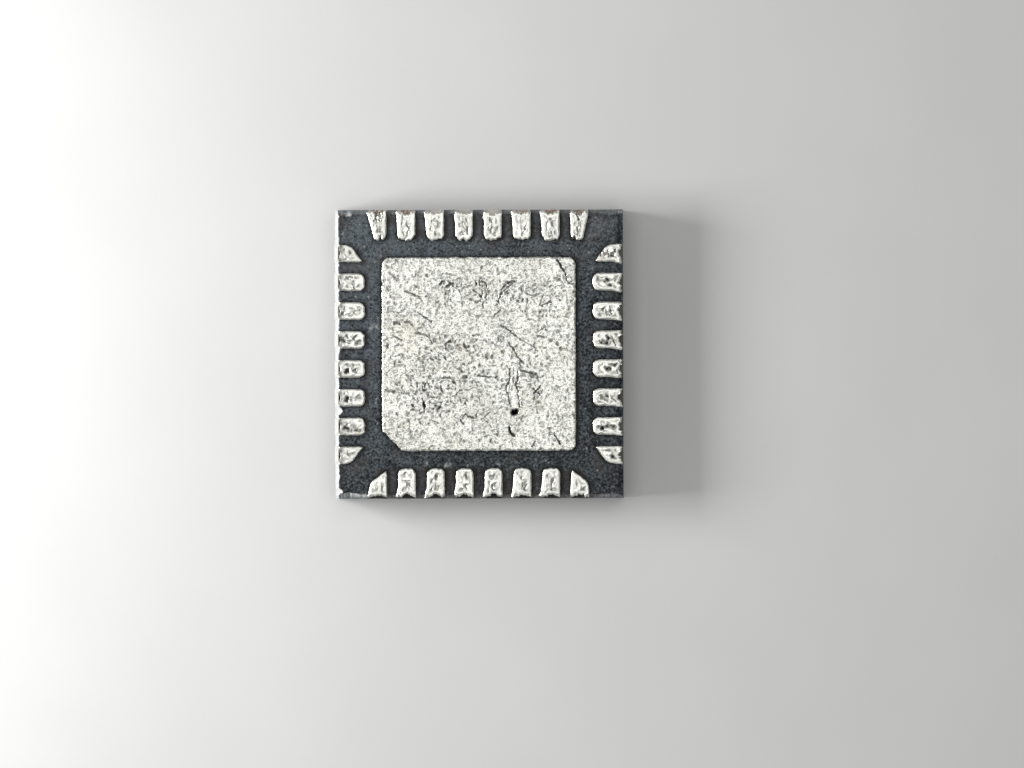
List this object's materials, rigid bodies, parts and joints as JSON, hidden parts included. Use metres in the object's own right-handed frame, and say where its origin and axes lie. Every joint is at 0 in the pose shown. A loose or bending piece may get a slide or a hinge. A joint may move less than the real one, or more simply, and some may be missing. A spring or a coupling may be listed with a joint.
{
  "type": "integrated circuit",
  "caption": "Leadless quad flat integrated circuit lying solder side up: a sawn block of dark epoxy with rows of tinned leads round an exposed thermal pad with one cut corner.",
  "frame": {"origin": "middle of the marked face, on which the part lies", "axes": "+Z from the marked face to the solder side; lead 1 and the pad's cut corner are at -X -Y, and the leads count up from there along +Y"},
  "size_m": [0.005, 0.005, 0.0009],
  "materials": {
    "mould": "matte",
    "tinned_pad": "satin",
    "tinned_lead": "satin",
    "die_attach": "matte",
    "silicon": "gloss",
    "gold_wire": "polished"
  },
  "bodies": {
    "root": {"mould_body": "mould", "die_paddle": "tinned_pad", "die_attach": "die_attach", "silicon_die": "silicon", "lead_01": "tinned_lead", "lead_02": "tinned_lead", "lead_03": "tinned_lead", "lead_04": "tinned_lead", "lead_05": "tinned_lead", "lead_06": "tinned_lead", "lead_07": "tinned_lead", "lead_08": "tinned_lead", "lead_09": "tinned_lead", "lead_10": "tinned_lead", "lead_11": "tinned_lead", "lead_12": "tinned_lead", "lead_13": "tinned_lead", "lead_14": "tinned_lead", "lead_15": "tinned_lead", "lead_16": "tinned_lead", "lead_17": "tinned_lead", "lead_18": "tinned_lead", "lead_19": "tinned_lead", "lead_20": "tinned_lead", "lead_21": "tinned_lead", "lead_22": "tinned_lead", "lead_23": "tinned_lead", "lead_24": "tinned_lead", "lead_25": "tinned_lead", "lead_26": "tinned_lead", "lead_27": "tinned_lead", "lead_28": "tinned_lead", "lead_29": "tinned_lead", "lead_30": "tinned_lead", "lead_31": "tinned_lead", "lead_32": "tinned_lead", "bond_wires_01_08": "gold_wire", "bond_wires_09_16": "gold_wire", "bond_wires_17_24": "gold_wire", "bond_wires_25_32": "gold_wire"}
  },
  "joints": []
}
